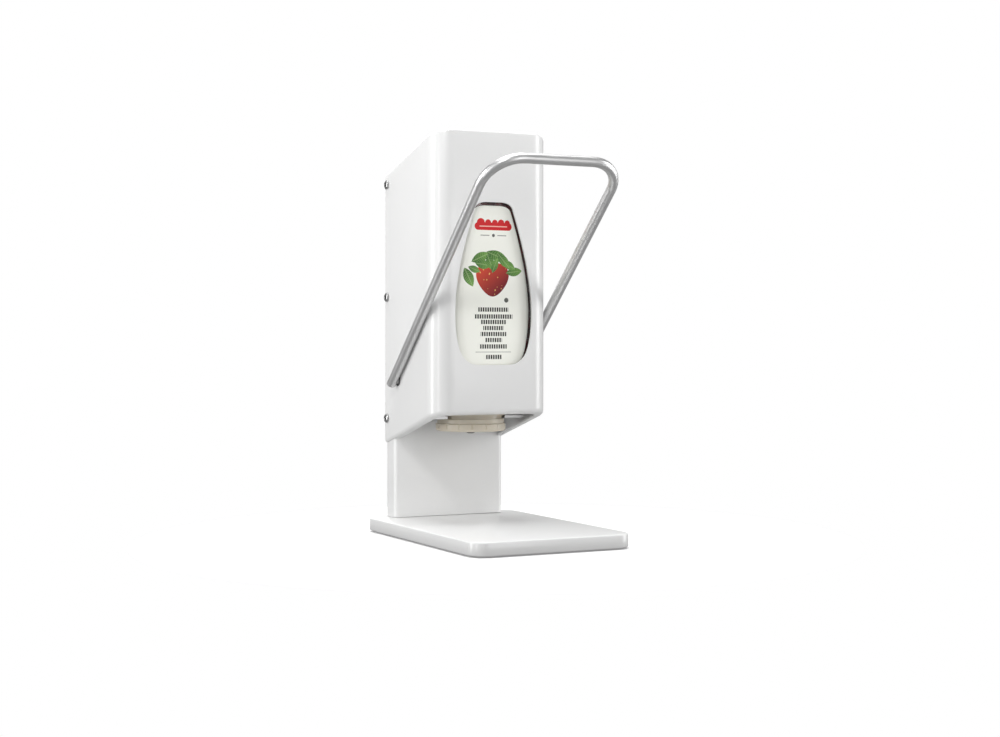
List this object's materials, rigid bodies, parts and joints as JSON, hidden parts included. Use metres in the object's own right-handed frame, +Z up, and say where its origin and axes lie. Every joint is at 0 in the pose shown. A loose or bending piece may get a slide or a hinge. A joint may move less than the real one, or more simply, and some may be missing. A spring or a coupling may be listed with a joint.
{
  "type": "fruit spread dispenser",
  "caption": "Free-standing lever dispenser: a hood on a column holds an upside-down bottle over a base plate, and a bent bail lever drives the dosing head.",
  "frame": {"origin": "on the table under the middle of the whole dispenser, level with the undersides of the feet", "axes": "+X to the right as seen by the person who serves, +Y to the rear, +Z up"},
  "size_m": [0.171, 0.2738, 0.41],
  "materials": {
    "white_coat": "satin white powder coat, very fine orange peel",
    "screw_steel": "stainless steel, turned, button heads with a hexagon socket",
    "lever_steel": "satin stainless bar, bent cold",
    "bracket_steel": "stainless sheet, brushed",
    "spring_steel": "drawn spring wire, lightly oiled",
    "cream_plastic": "moulded, satin, slightly translucent",
    "nylon": "machined natural nylon",
    "bush_plastic": "moulded dark bearing plastic",
    "seal_silicone": "soft silicone, matt",
    "foot_rubber": "matt black rubber",
    "clear_bottle": "clear glossy squeeze bottle",
    "label_film": null,
    "fruit_spread": "dark red fruit spread with pieces, wet gloss"
  },
  "bodies": {
    "frame": {"base_plate": "white_coat", "foot_1": "foot_rubber", "foot_2": "foot_rubber", "foot_3": "foot_rubber", "foot_4": "foot_rubber", "back_column": "white_coat", "base_screw_1": "screw_steel", "base_screw_2": "screw_steel", "base_screw_3": "screw_steel", "hood": "white_coat", "hood_screw_left_1": "screw_steel", "hood_screw_left_2": "screw_steel", "hood_screw_left_3": "screw_steel", "hood_screw_right_1": "screw_steel", "hood_screw_right_2": "screw_steel", "hood_screw_right_3": "screw_steel", "hood_nut_left_1": "screw_steel", "hood_nut_left_2": "screw_steel", "hood_nut_left_3": "screw_steel", "hood_nut_right_1": "screw_steel", "hood_nut_right_2": "screw_steel", "hood_nut_right_3": "screw_steel", "bottle_shelf": "white_coat", "shelf_screw_1": "screw_steel", "shelf_screw_2": "screw_steel", "shelf_nut_1": "screw_steel", "shelf_nut_2": "screw_steel", "dosing_cylinder": "cream_plastic", "neck_seal": "seal_silicone", "lock_ring": "nylon", "pivot_bush_left": "bush_plastic", "pivot_bush_right": "bush_plastic", "return_spring_left": "spring_steel", "return_spring_right": "spring_steel"},
    "dosing_unit": {"dosing_head": "cream_plastic", "outlet_valve": "seal_silicone", "lift_yoke": "bracket_steel", "yoke_roller_left": "nylon", "yoke_roller_right": "nylon"},
    "lever": {"lever_bail": "lever_steel", "crank_arm_left": "bracket_steel", "crank_arm_right": "bracket_steel", "crank_grub_screw_left": "screw_steel", "crank_grub_screw_right": "screw_steel"},
    "bottle": {"bottle": "clear_bottle", "bottle_label": "label_film", "jam_fill": "fruit_spread"}
  },
  "joints": [
    {"name": "lever_pivot", "type": "hinge", "parent": "frame", "child": "lever", "pos_m": [0, 0.0965, 0.1586], "axis": [1, 0, 0], "range_deg": [0, 20], "stiffness_Nm_per_rad": 1.3, "springref_deg": -71.62, "deforming": ["return_spring_left", "return_spring_right"]},
    {"name": "head_slide", "type": "slide", "parent": "frame", "child": "dosing_unit", "axis": [0, 0, -1], "range_m": [0, 0.0137]},
    {"name": "bottle_lift", "type": "slide", "parent": "frame", "child": "bottle", "axis": [0, 0, 1], "range_m": [0, 0.29]}
  ],
  "couplings": [
    {"joint": "head_slide", "follows": "lever_pivot", "m_per_rad": 0.038896}
  ]
}
